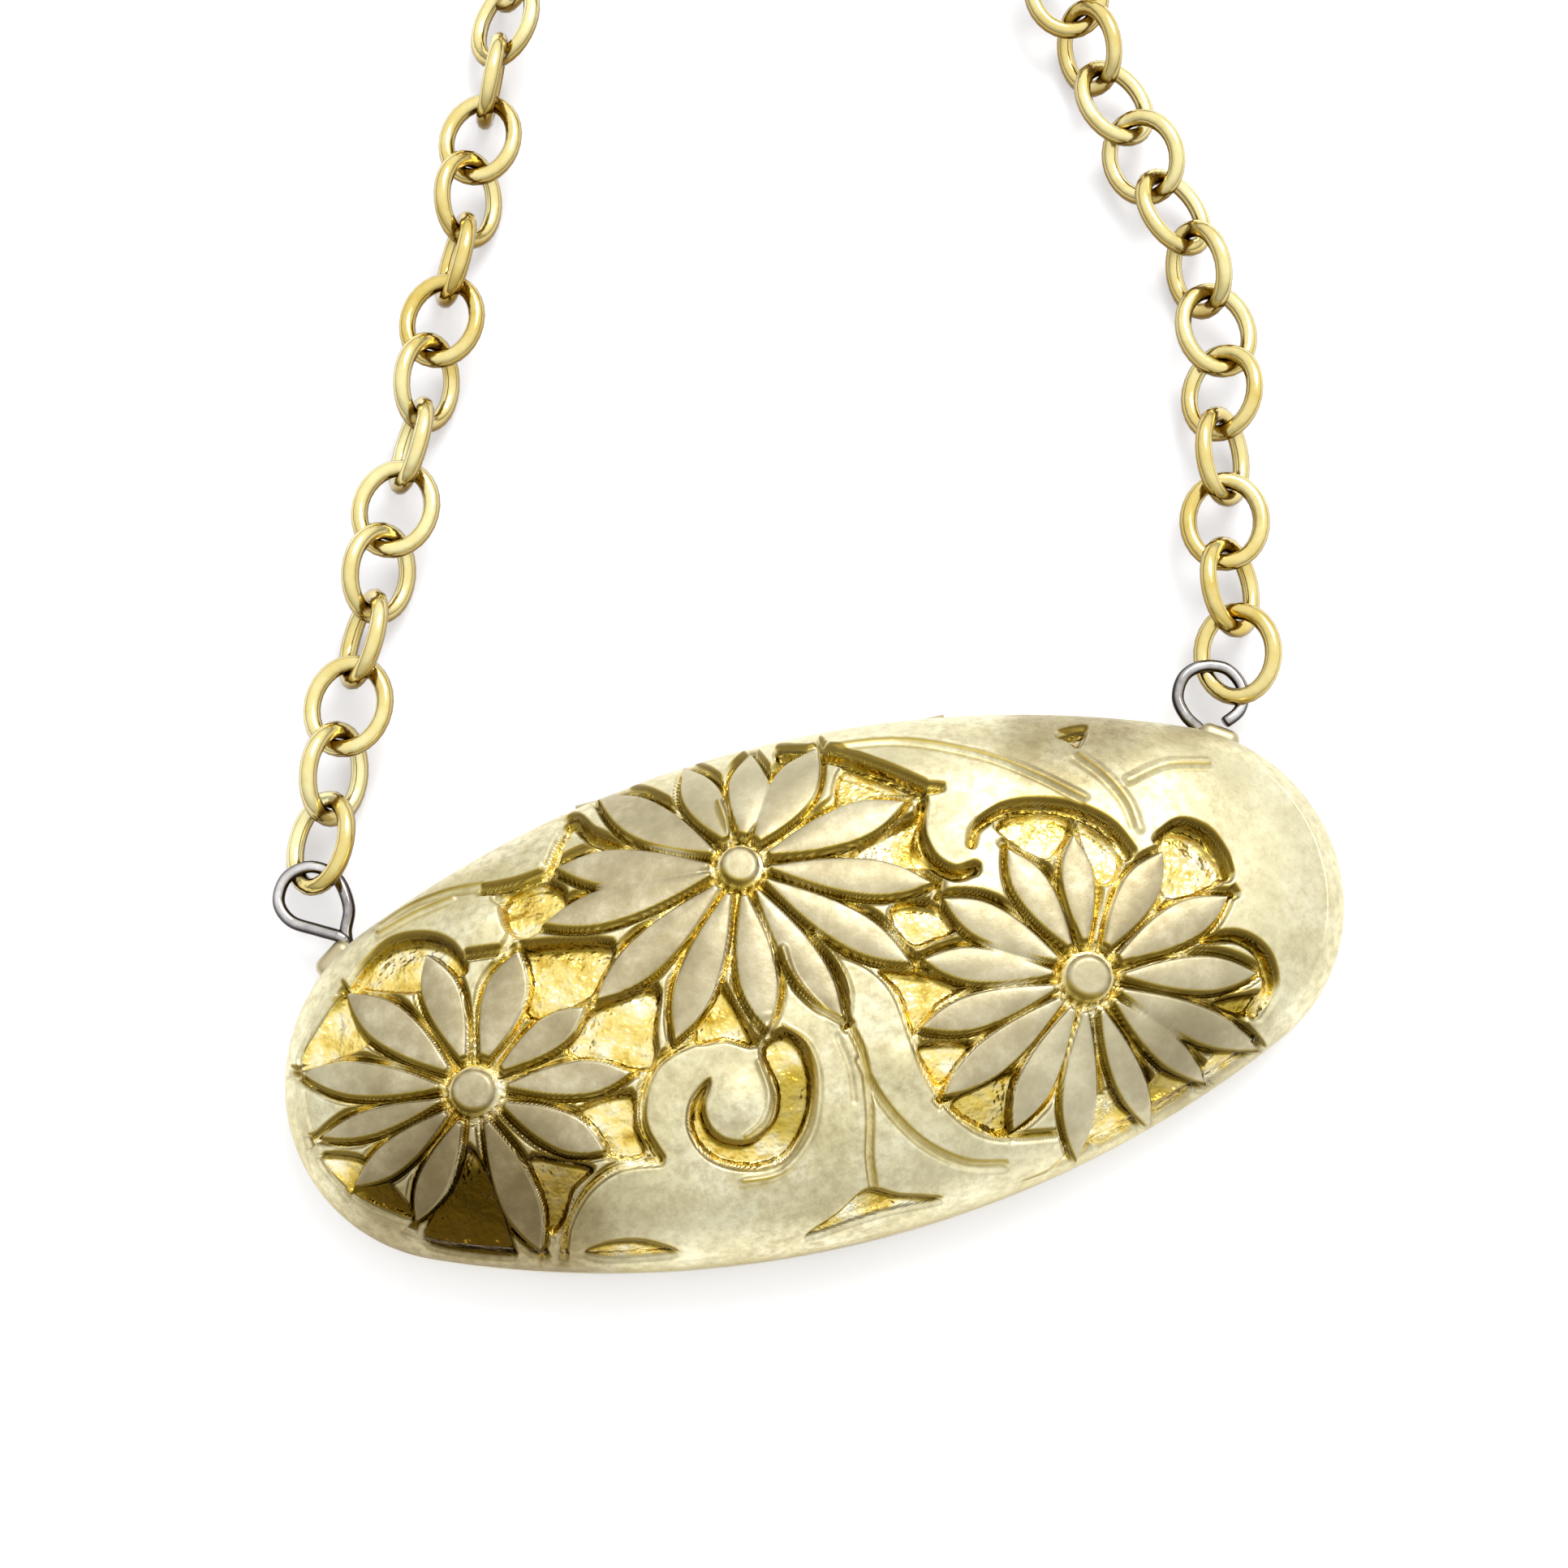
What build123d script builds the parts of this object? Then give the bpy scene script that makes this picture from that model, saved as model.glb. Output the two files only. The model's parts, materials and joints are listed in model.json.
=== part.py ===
from build123d import *
import math
import os

# Oval floral locket on a cable chain, lying on its back. Millimetres.
# Origin: centre of the flat back. X runs along the oval, Y towards the chain, Z up through the dome.

# ---- locket outline: a four-centre oval ----
HALF_LENGTH = 22.6
HALF_WIDTH = 10.6
END_RADIUS = 7.5
SIDE_RADIUS = ((HALF_LENGTH - END_RADIUS) ** 2 + HALF_WIDTH**2 - END_RADIUS**2) / (
    2 * (HALF_WIDTH - END_RADIUS)
)

# ---- shells ----
CASE_HEIGHT = 2.4  # the parting line between case and cover
CASE_FLOOR = 0.9
CASE_EDGE_ROUND = 0.8
SEAM_CHAMFER = 0.12
DOME_HEIGHT = 5.6
DOME_SPREAD_X = 0.6  # the dome's ellipsoid is this much longer than the oval
DOME_SPREAD_Y = 0.45
COVER_WALL = 1.3
RECESS_DEPTH = 1.75  # straight recess in the cover that takes card, window and frame

# ---- closing rim, frames, windows and cards, as insets from the outline ----
RIM_OUTER_INSET = 1.45
RIM_INNER_INSET = 2.1
RIM_RISE = 0.7
CASE_STACK_INSET = 2.15
COVER_STACK_INSET = 1.35
FRAME_WIDTH = 1.3
CARD_THICK = 0.2
WINDOW_THICK = 0.3
FRAME_THICK = 0.6
COVER_FRAME_THICK = 0.4

# ---- hinge ----
HINGE_Y = 9.7
HINGE_Z = 2.1
HINGE_HALF = 8.2
PIN_HALF = 8.9
HINGE_NOTCH_HALF = 9.1
HINGE_NOTCH_Y = 9.2
HINGE_NOTCH_FLOOR = 0.7
HINGE_NOTCH_CEILING = 2.8
BARREL_RADIUS = 0.5
PIN_RADIUS = 0.25
PIN_CLEARANCE = 0.04
COVER_LEAF_HALF = 0.35
KNUCKLES = 5
KNUCKLE_GAP = 0.1

# ---- eyes and their bosses ----
BOSS_ANGLE = 55.0
BOSS_WIDTH = 1.8
BOSS_BOTTOM = 0.7
BOSS_TOP = 2.2
BOSS_REACH = 8.2  # from the centre of the oval's end arc
BOSS_ROOT = 6.6
BOSS_ROUND = 0.45
EYE_HEIGHT = 1.7
EYE_RADIUS = 1.42
EYE_WIRE = 0.23
LEFT_EYE = (-20.0, 9.15)
RIGHT_EYE = (19.8, 8.2)

# ---- chain ----
CHAIN_DIAMETER = 4.0
CHAIN_Z = CHAIN_DIAMETER / 2
COIL_CENTRE = (27.0, 80.3)
COIL_START_RADIUS = 22.0
LEFT_TURNS = 1.0
RIGHT_TURNS = 1.2
LEFT_COIL_ANGLE = 172.0
RIGHT_COIL_ANGLE = 241.0
END_RING_ANGLE = 162.5
END_RING_RADIUS = 17.4
RING_RADIUS = 1.65
RING_WIRE = 0.35

# ---- clasp, in its own frame: eyelet at the origin, hook along +Y ----
CLASP_PLACE = (13.2, 85.0)
CLASP_TURN = -85.0
CLASP_THICK = 2.4
CLASP_BASE_LOW = 1.0
CLASP_BASE_HIGH = 5.2
CLASP_BASE_HALF = 2.0
HOOK_CENTRE = (0.1, 7.3)
HOOK_INNER = 1.7
HOOK_OUTER = 3.0
PIVOT = (1.1, 4.1)
PIVOT_RADIUS = 0.35
LEVER_REACH = 3.45
LEVER_GAP = 0.1
LEVER_LOW = 1.0
LEVER_HIGH = 1.7
SLOT_RADIUS = 1.5
SLOT_LOW = 0.65
SLOT_HIGH = 1.8
SPRING_RADIUS = 0.62
SPRING_WIRE = 0.11

os.makedirs("parts", exist_ok=True)


def save(name, shape):
    export_step(shape, f"parts/{name}.step")


def oval(inset, z):
    """The locket's outline moved inwards by inset, as a face at height z."""
    end_centre = HALF_LENGTH - END_RADIUS
    side_centre = SIDE_RADIUS - HALF_WIDTH
    reach = SIDE_RADIUS - END_RADIUS
    radius = END_RADIUS - inset
    tx = end_centre + radius * end_centre / reach
    ty = radius * side_centre / reach
    ax = HALF_LENGTH - inset
    ay = HALF_WIDTH - inset
    edges = [
        ThreePointArc((tx, -ty), (ax, 0), (tx, ty)),
        ThreePointArc((tx, ty), (0, ay), (-tx, ty)),
        ThreePointArc((-tx, ty), (-ax, 0), (-tx, -ty)),
        ThreePointArc((-tx, -ty), (0, -ay), (tx, -ty)),
    ]
    return Pos(0, 0, z) * make_face(edges)


def slab(inset, low, high):
    return extrude(oval(inset, low), amount=high - low)


def ring_slab(outer_inset, inner_inset, low, high):
    return slab(outer_inset, low, high) - slab(inner_inset, low - 1, high + 1)


def ellipsoid(inset):
    size = (
        HALF_LENGTH + DOME_SPREAD_X - inset,
        HALF_WIDTH + DOME_SPREAD_Y - inset,
        DOME_HEIGHT - inset,
    )
    return Pos(0, 0, CASE_HEIGHT) * scale(Sphere(1), by=size)


def box_between(low, high):
    size = [b - a for a, b in zip(low, high)]
    middle = [(a + b) / 2 for a, b in zip(low, high)]
    return Pos(*middle) * Box(*size)


def hinge_rod(x0, x1, radius):
    rod = Cylinder(radius, x1 - x0, rotation=(0, 90, 0))
    return Pos((x0 + x1) / 2, HINGE_Y, HINGE_Z) * rod


# ---- shells ----
def front_cover():
    top = CASE_HEIGHT + DOME_HEIGHT + 1
    blank = slab(0, CASE_HEIGHT, top)
    blank = chamfer(blank.edges().group_by(Axis.Z)[0], SEAM_CHAMFER)
    cover = blank & ellipsoid(0)
    cover -= slab(COVER_WALL, CASE_HEIGHT - 1, CASE_HEIGHT + RECESS_DEPTH)
    cover -= ellipsoid(COVER_WALL)
    cover -= box_between(
        (-HINGE_NOTCH_HALF, HINGE_NOTCH_Y - 0.15, CASE_HEIGHT - 1),
        (HINGE_NOTCH_HALF, HALF_WIDTH + 1, HINGE_NOTCH_CEILING),
    )
    return cover


def back_case():
    case = slab(0, 0, CASE_HEIGHT)
    case = fillet(case.edges().group_by(Axis.Z)[0], CASE_EDGE_ROUND)
    case = chamfer(case.edges().group_by(Axis.Z)[-1], SEAM_CHAMFER)
    case -= slab(RIM_OUTER_INSET, CASE_FLOOR, CASE_HEIGHT + 1)
    case -= box_between(
        (-HINGE_NOTCH_HALF, HINGE_NOTCH_Y, HINGE_NOTCH_FLOOR),
        (HINGE_NOTCH_HALF, HALF_WIDTH + 1, CASE_HEIGHT + 1),
    )
    return case


# ---- hinge ----
def knuckle_span(index):
    step = 2 * HINGE_HALF / KNUCKLES
    x0 = -HINGE_HALF + index * step + KNUCKLE_GAP / 2
    return x0, x0 + step - KNUCKLE_GAP


def case_knuckles():
    parts = []
    for index in range(0, KNUCKLES, 2):
        x0, x1 = knuckle_span(index)
        leaf_low = (x0, HINGE_NOTCH_Y, HINGE_NOTCH_FLOOR)
        leaf = box_between(leaf_low, (x1, HINGE_Y, HINGE_Z))
        solid = hinge_rod(x0, x1, BARREL_RADIUS) + leaf
        parts.append(solid - hinge_rod(x0 - 1, x1 + 1, PIN_RADIUS))
    return Compound(children=parts)


def cover_knuckles():
    parts = []
    for index in range(1, KNUCKLES, 2):
        x0, x1 = knuckle_span(index)
        leaf_high = (x1, HINGE_Y + COVER_LEAF_HALF, HINGE_NOTCH_CEILING)
        leaf = box_between((x0, HINGE_Y - COVER_LEAF_HALF, HINGE_Z), leaf_high)
        solid = hinge_rod(x0, x1, BARREL_RADIUS) + leaf
        bore = hinge_rod(x0 - 1, x1 + 1, PIN_RADIUS + PIN_CLEARANCE)
        parts.append(solid - bore)
    return Compound(children=parts)


# ---- eyes ----
def boss(side):
    angle = math.radians(BOSS_ANGLE)
    block = Box(BOSS_REACH - BOSS_ROOT, BOSS_WIDTH, BOSS_TOP - BOSS_BOTTOM)
    outer_edges = block.edges().group_by(Axis.X)[-1] + block.edges().filter_by(Axis.X)
    block = fillet(outer_edges, BOSS_ROUND)
    middle = (BOSS_REACH + BOSS_ROOT) / 2
    x = HALF_LENGTH - END_RADIUS + middle * math.cos(angle)
    y = middle * math.sin(angle)
    placed = Pos(x, y, (BOSS_BOTTOM + BOSS_TOP) / 2) * Rot(0, 0, BOSS_ANGLE) * block
    placed -= slab(0, -1, CASE_HEIGHT + 1)
    return placed if side > 0 else mirror(placed, about=Plane.YZ)


def eye(side, centre):
    """A wire loop with a stem let into its boss."""
    angle = math.radians(BOSS_ANGLE)
    reach = BOSS_REACH - 0.6
    foot_x = side * (HALF_LENGTH - END_RADIUS + reach * math.cos(angle))
    foot = Vector(foot_x, reach * math.sin(angle), EYE_HEIGHT)
    middle = Vector(centre[0], centre[1], EYE_HEIGHT)
    way = (foot - middle).normalized()
    start = middle + way * EYE_RADIUS
    stem_plane = Plane(origin=start, z_dir=way)
    stem = extrude(stem_plane * Circle(EYE_WIRE), amount=(foot - start).length)
    return Pos(*middle) * Torus(EYE_RADIUS, EYE_WIRE) + stem


# ---- chain ----
def coil_point(angle, radius, z):
    x = COIL_CENTRE[0] + radius * math.cos(math.radians(angle))
    y = COIL_CENTRE[1] + radius * math.sin(math.radians(angle))
    return (x, y, z)


LEFT_ROUTE = [
    (-19.4, 10.5, CHAIN_Z),
    (-16.4, 17.9, CHAIN_Z),
    (-11.9, 27.3, CHAIN_Z),
    (-8.0, 36.3, CHAIN_Z),
    (-4.9, 44.3, CHAIN_Z),
    (-1.2, 52.3, CHAIN_Z),
    (1.5, 61.9, CHAIN_Z),
    (3.7, 72.8, CHAIN_Z),
    coil_point(LEFT_COIL_ANGLE, COIL_START_RADIUS, CHAIN_Z),
]
RIGHT_ROUTE = [
    (21.3, 9.3, CHAIN_Z),
    (22.2, 14.1, CHAIN_Z),
    (23.6, 19.2, CHAIN_Z),
    (25.2, 24.4, CHAIN_Z),
    (25.0, 30.4, CHAIN_Z),
    (24.1, 36.4, CHAIN_Z),
    (23.6, 44.6, CHAIN_Z),
    (21.9, 53.6, CHAIN_Z + CHAIN_DIAMETER),
    coil_point(RIGHT_COIL_ANGLE, COIL_START_RADIUS, CHAIN_Z + CHAIN_DIAMETER),
]


def chain_tube(name, route):
    """Straight runs joined by arcs as large as the runs allow."""
    points = [Vector(*p) for p in route]
    radii = []
    for before, here, after in zip(points, points[1:], points[2:]):
        first, second = here - before, after - here
        turn = math.radians(first.get_angle(second))
        shorter = min(first.length, second.length)
        radii.append(0.45 * shorter / math.tan(turn / 2))
    path = FilletPolyline(*points, radius=radii)
    section = Plane(origin=path @ 0, z_dir=path % 0) * Circle(CHAIN_DIAMETER / 2)
    tube = sweep(section, path=path)
    area = math.pi * CHAIN_DIAMETER**2 / 4
    print(name, "radii", [round(r, 1) for r in radii], "length", round(path.length, 1))
    print(name, "volume over section x length", round(tube.volume / (area * path.length), 4))
    return tube


def coil(turns, low):
    """The outer shape of the coiled chain: a flat ring."""
    outer = COIL_START_RADIUS + CHAIN_DIAMETER / 2
    inner = COIL_START_RADIUS - CHAIN_DIAMETER * (turns + 0.5)
    ring = Circle(outer) - Circle(inner)
    return extrude(Pos(COIL_CENTRE[0], COIL_CENTRE[1], low) * ring, amount=CHAIN_DIAMETER)


# ---- clasp ----
def placed_clasp(shape):
    return Pos(CLASP_PLACE[0], CLASP_PLACE[1], 0) * Rot(0, 0, CLASP_TURN) * shape


def plate(face, low, high):
    return extrude(Pos(0, 0, low) * face, amount=high - low)


def pivot_disc(radius):
    return Pos(*PIVOT) * Circle(radius)


def hook_face():
    hook = Pos(*HOOK_CENTRE) * (Circle(HOOK_OUTER) - Circle(HOOK_INNER))
    mouth = Pos(HOOK_CENTRE[0] + 2.5, HOOK_CENTRE[1] - 2.7) * Rectangle(5.0, 5.0)
    swing = pivot_disc(LEVER_REACH + LEVER_GAP) & (Pos(2.8, 6) * Rectangle(4.0, 8.0))
    return hook - mouth - swing


def clasp_body():
    base_y = (CLASP_BASE_LOW + CLASP_BASE_HIGH) / 2
    base_size = (2 * CLASP_BASE_HALF, CLASP_BASE_HIGH - CLASP_BASE_LOW)
    base = Pos(0, base_y) * RectangleRounded(*base_size, 0.9)
    neck = Pos(-1.6, CLASP_BASE_HIGH - 0.2) * Rectangle(1.3, 2.6)
    body = plate(base, 0, CLASP_THICK) + plate(hook_face(), 0, CLASP_THICK)
    body += plate(neck, 0, CLASP_THICK)
    slot = pivot_disc(SLOT_RADIUS) + Pos(PIVOT[0] + 0.9, PIVOT[1] + 0.8) * Rectangle(2.9, 2.4)
    body -= plate(slot, SLOT_LOW, SLOT_HIGH)
    body -= plate(pivot_disc(PIVOT_RADIUS), -1, CLASP_THICK + 1)
    eyelet = Pos(0, 0, CLASP_THICK / 2) * Rot(0, 90, 0) * Torus(0.92, 0.28)
    return body + eyelet


def clasp_lever():
    arc = Pos(*HOOK_CENTRE) * (Circle(HOOK_OUTER - 0.1) - Circle(HOOK_INNER + 0.15))
    arc &= Pos(HOOK_CENTRE[0] + 2.6, HOOK_CENTRE[1] - 1.9) * Rectangle(4.0, 5.2)
    thumb = Pos(3.3, 6.1) * RectangleRounded(1.5, 1.3, 0.4)
    arm = (arc + thumb) & pivot_disc(LEVER_REACH)
    hub = pivot_disc(0.95) - pivot_disc(PIVOT_RADIUS + 0.04)
    link = Pos(1.15, 5.0) * Rectangle(1.0, 0.9)
    flat = (arm + link - pivot_disc(0.9)) + hub
    thick = arm & (Pos(2.5, 8.15) * Rectangle(5.0, 5.0))
    return plate(flat, LEVER_LOW, LEVER_HIGH) + plate(thick, LEVER_LOW - 0.5, LEVER_HIGH + 0.4)


def clasp_spring():
    height = SLOT_LOW + SPRING_WIRE
    ring = Pos(PIVOT[0], PIVOT[1], height) * Torus(SPRING_RADIUS, SPRING_WIRE)
    leg = Cylinder(SPRING_WIRE, 1.0, rotation=(0, 90, 0))
    return ring + Pos(PIVOT[0] - 0.4, PIVOT[1] - SPRING_RADIUS + 0.06, height) * leg


def clasp_rivet():
    return plate(pivot_disc(PIVOT_RADIUS), 0.05, CLASP_THICK - 0.05)


def chain_ring(x, y, z):
    return Pos(x, y, z) * Torus(RING_RADIUS, RING_WIRE)


def clasp_ring():
    return placed_clasp(chain_ring(0, -RING_RADIUS, CLASP_THICK / 2))


def end_ring():
    place = coil_point(END_RING_ANGLE, END_RING_RADIUS, 2 * CHAIN_DIAMETER + RING_WIRE)
    return chain_ring(*place)


# ---- build ----
case_card_top = CASE_FLOOR + CARD_THICK
case_window_top = case_card_top + WINDOW_THICK
case_frame_top = case_window_top + FRAME_THICK
recess_top = CASE_HEIGHT + RECESS_DEPTH
cover_card_low = recess_top - CARD_THICK
cover_window_low = cover_card_low - WINDOW_THICK
cover_frame_low = cover_window_low - COVER_FRAME_THICK

save("front_cover", front_cover())
save("back_case", back_case())
save("snap_rim", ring_slab(RIM_OUTER_INSET, RIM_INNER_INSET, CASE_FLOOR, CASE_HEIGHT + RIM_RISE))
save("case_knuckles", case_knuckles())
save("cover_knuckles", cover_knuckles())
save("hinge_pin", hinge_rod(-PIN_HALF, PIN_HALF, PIN_RADIUS))

save("case_card", slab(CASE_STACK_INSET, CASE_FLOOR, case_card_top))
save("case_window", slab(CASE_STACK_INSET, case_card_top, case_window_top))
frame_inner = CASE_STACK_INSET + FRAME_WIDTH
save("case_photo_frame", ring_slab(CASE_STACK_INSET, frame_inner, case_window_top, case_frame_top))
save("cover_card", slab(COVER_STACK_INSET, cover_card_low, recess_top))
save("cover_window", slab(COVER_STACK_INSET, cover_window_low, cover_card_low))
cover_inner = COVER_STACK_INSET + FRAME_WIDTH
cover_frame = ring_slab(COVER_STACK_INSET, cover_inner, cover_frame_low, cover_window_low)
save("cover_photo_frame", cover_frame)

save("left_eye_boss", boss(-1))
save("right_eye_boss", boss(1))
save("left_eye", eye(-1, LEFT_EYE))
save("right_eye", eye(1, RIGHT_EYE))

save("left_chain", chain_tube("left_chain", LEFT_ROUTE))
save("right_chain", chain_tube("right_chain", RIGHT_ROUTE))
save("left_chain_coil", coil(LEFT_TURNS, 0))
save("right_chain_coil", coil(RIGHT_TURNS, CHAIN_DIAMETER))

save("clasp_ring", clasp_ring())
save("end_ring", end_ring())
save("clasp_body", placed_clasp(clasp_body()))
save("clasp_lever", placed_clasp(clasp_lever()))
save("clasp_spring", placed_clasp(clasp_spring()))
save("clasp_rivet", placed_clasp(clasp_rivet()))

pivot_place = placed_clasp(Pos(*PIVOT) * Circle(0.1)).center()
print("lever pivot", round(pivot_place.X, 3), round(pivot_place.Y, 3))
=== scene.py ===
import json
import math

import bpy
import numpy as np
from mathutils import Matrix, Vector


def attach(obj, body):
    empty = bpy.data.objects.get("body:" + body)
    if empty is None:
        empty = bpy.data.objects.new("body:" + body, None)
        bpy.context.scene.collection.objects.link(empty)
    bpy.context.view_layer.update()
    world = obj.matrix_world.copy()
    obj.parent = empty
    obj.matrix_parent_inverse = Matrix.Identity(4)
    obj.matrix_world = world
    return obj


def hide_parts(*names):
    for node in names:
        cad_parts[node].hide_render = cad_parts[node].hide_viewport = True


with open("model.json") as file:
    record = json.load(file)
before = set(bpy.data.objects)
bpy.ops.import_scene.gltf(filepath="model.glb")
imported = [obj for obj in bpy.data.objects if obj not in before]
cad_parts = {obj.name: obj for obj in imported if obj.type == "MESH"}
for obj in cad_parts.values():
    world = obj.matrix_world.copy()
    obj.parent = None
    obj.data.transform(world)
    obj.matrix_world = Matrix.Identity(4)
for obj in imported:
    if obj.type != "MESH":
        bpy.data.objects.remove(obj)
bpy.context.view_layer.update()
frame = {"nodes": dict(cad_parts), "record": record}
nodes = frame["nodes"]
MM = 0.001

# ---- the locket's outline, in millimetres ----
HALF_LENGTH = 22.6
HALF_WIDTH = 10.6
END_RADIUS = 7.5
SIDE_RADIUS = ((HALF_LENGTH - END_RADIUS) ** 2 + HALF_WIDTH**2 - END_RADIUS**2) / (
    2 * (HALF_WIDTH - END_RADIUS)
)
END_X = HALF_LENGTH - END_RADIUS
SIDE_Y = SIDE_RADIUS - HALF_WIDTH
JOIN_X = END_X + END_RADIUS * END_X / (SIDE_RADIUS - END_RADIUS)  # where end and side arcs meet
CASE_HEIGHT = 2.4  # the parting line between case and cover
DOME_HEIGHT = 5.6
RECESS_TOP = 4.15  # the flat inside the cover that its frame rests on
NOTCH_HALF = 9.1  # the cut-out for the hinge
NOTCH_Y = 9.05
NOTCH_TOP = 2.8

# ---- where the object is looked at from, which is also where the carving is drawn from ----
DRAWN_FROM = (-4.97, -13.36, 94.31)
LAYOUT_SCALE = 1.012
LAYOUT_LIFT = 0.22


# ---- materials ----
class Shader:
    """A principled material with a few short ways to wire its inputs."""

    def __init__(self, name, metallic, roughness, color=(0.8, 0.8, 0.8)):
        self.material = bpy.data.materials.new(name)
        self.material.use_nodes = True
        self.tree = self.material.node_tree
        self.shader = self.tree.nodes["Principled BSDF"]
        self.shader.inputs["Metallic"].default_value = metallic
        self.shader.inputs["Roughness"].default_value = roughness
        self.shader.inputs["Base Color"].default_value = (*color, 1)
        self.place = self.add("ShaderNodeTexCoord").outputs["Object"]

    def add(self, kind, **values):
        node = self.tree.nodes.new(kind)
        for key, value in values.items():
            setattr(node, key, value)
        return node

    def link(self, a, b):
        self.tree.links.new(a, b)

    def feed(self, socket, value):
        """Wire a socket to another one, or set it to a constant number or colour."""
        if isinstance(value, bpy.types.NodeSocket):
            self.link(value, socket)
        elif isinstance(value, float):
            socket.default_value = value
        else:
            socket.default_value = (*value, 1)

    def noise(self, scale, detail=4.0, rough=0.55):
        node = self.add("ShaderNodeTexNoise")
        node.inputs["Scale"].default_value = scale
        node.inputs["Detail"].default_value = detail
        node.inputs["Roughness"].default_value = rough
        self.link(self.place, node.inputs["Vector"])
        return node.outputs["Fac"]

    def attribute(self, name):
        return self.add("ShaderNodeAttribute", attribute_name=name).outputs["Fac"]

    def span(self, value, low, high, a, b):
        """A value carried from the range low to high over to the range a to b."""
        node = self.add("ShaderNodeMapRange")
        for key, number in zip(("From Min", "From Max", "To Min", "To Max"), (low, high, a, b)):
            node.inputs[key].default_value = number
        self.link(value, node.inputs["Value"])
        return node.outputs["Result"]

    def ramp(self, value, stops):
        node = self.add("ShaderNodeValToRGB")
        elements = node.color_ramp.elements
        while len(elements) < len(stops):
            elements.new(0.5)
        for element, (position, color) in zip(elements, stops):
            element.position = position
            element.color = (*color, 1)
        self.link(value, node.inputs["Fac"])
        return node.outputs["Color"]

    def mix(self, factor, a, b, blend="MIX"):
        node = self.add("ShaderNodeMix", data_type="RGBA", blend_type=blend)
        for socket, value in zip((node.inputs[0], node.inputs[6], node.inputs[7]), (factor, a, b)):
            self.feed(socket, value)
        return node.outputs[2]

    def math(self, operation, *values):
        node = self.add("ShaderNodeMath", operation=operation)
        for socket, value in zip(node.inputs, values):
            self.feed(socket, value)
        return node.outputs[0]

    def color(self, value):
        self.link(value, self.shader.inputs["Base Color"])

    def roughness(self, value):
        self.link(value, self.shader.inputs["Roughness"])

    def bump(self, value, strength, depth):
        node = self.add("ShaderNodeBump")
        node.inputs["Strength"].default_value = strength
        node.inputs["Distance"].default_value = depth
        self.link(value, node.inputs["Height"])
        self.link(node.outputs["Normal"], self.shader.inputs["Normal"])


def metal(name, dark, light, polish, grain=900.0, side=None, shade_facing=None):
    """Metal whose tone and polish vary with a fine grain, and may darken to a second colour down its sides as
    painted shade.

    polish is the roughness from its brightest to its dullest. The last argument is how far upwards
    the surface has to face to have the painted side shade all over, and to have none of it.
    """
    s = Shader(name, 1.0, sum(polish) / 2)
    fine = s.noise(grain, 5.0, 0.6)
    broad = s.noise(grain / 7, 3.0, 0.5)
    both = s.math("MULTIPLY_ADD", fine, 0.5, broad)
    tone = s.ramp(s.span(both, 0.5, 1.0, 0.0, 1.0), [(0.0, dark), (1.0, light)])
    # painted shade: the less a surface faces upwards, the more it takes the dark side colour
    if side:
        facing = s.add("ShaderNodeSeparateXYZ")
        s.link(s.add("ShaderNodeTexCoord").outputs["Normal"], facing.inputs["Vector"])
        tone = s.mix(s.span(facing.outputs["Z"], *shade_facing, 0.0, 1.0), side, tone)
    s.color(tone)
    s.roughness(s.span(both, 0.45, 1.05, *polish))
    s.bump(fine, 0.5, 0.000012)
    return s.material


def satin_tone(s, grain, broad):
    """The raised carving: pale satin, duller on the petals, in fine grain and broad patches."""
    patches = s.span(s.noise(420.0, 6.0, 0.68), 0.34, 0.66, 0.0, 1.0)
    plain = s.ramp(patches, [(0.0, (0.66, 0.59, 0.34)), (0.5, (0.81, 0.74, 0.46)), (1.0, (0.96, 0.92, 0.66))])
    dull = s.ramp(patches, [(0.0, (0.34, 0.28, 0.155)), (0.5, (0.48, 0.41, 0.25)), (1.0, (0.68, 0.61, 0.41))])
    tone = s.mix(s.attribute("petal"), plain, dull)
    tone = s.mix(s.span(grain, 0.42, 0.68, 0.0, 0.6), tone, (0.42, 0.35, 0.19))
    return s.mix(s.span(broad, 0.44, 0.70, 0.0, 0.35), tone, (0.90, 0.87, 0.62))


def hollow_tone(s):
    """The sunk ground: mottled bright yellow gold."""
    mottle = s.span(s.noise(700.0, 5.0, 0.66), 0.32, 0.66, 0.0, 1.0)
    return s.ramp(mottle, [(0.0, (0.62, 0.39, 0.04)), (0.45, (0.95, 0.74, 0.22)), (1.0, (1.0, 0.95, 0.70))])


def painted_light_and_shade(s, tone):
    """A tone with painted highlights on its raised edges, painted shade in its crevices in two stages, and
    its patches of painted shade.
    """
    painted_shade = s.attribute("painted_shade")
    # painted highlight along the raised edges
    tone = s.mix(s.span(s.attribute("rim"), 0.0, 1.0, 0.0, 0.75), tone, (0.98, 0.93, 0.66))
    # painted shade in the corners, on the walls facing the lower left and in the shadow they cast, darkest in
    # the second stage
    tone = s.mix(s.span(painted_shade, 0.0, 0.6, 0.0, 0.85), tone, (0.44, 0.32, 0.03))
    tone = s.mix(s.span(painted_shade, 0.6, 1.0, 0.0, 0.92), tone, (0.12, 0.070, 0.005))
    # patches of painted shade multiply the whole tone darker
    return s.mix(s.attribute("patch_shade"), tone, s.mix(1.0, tone, (0.50, 0.45, 0.36), "MULTIPLY"))


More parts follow.
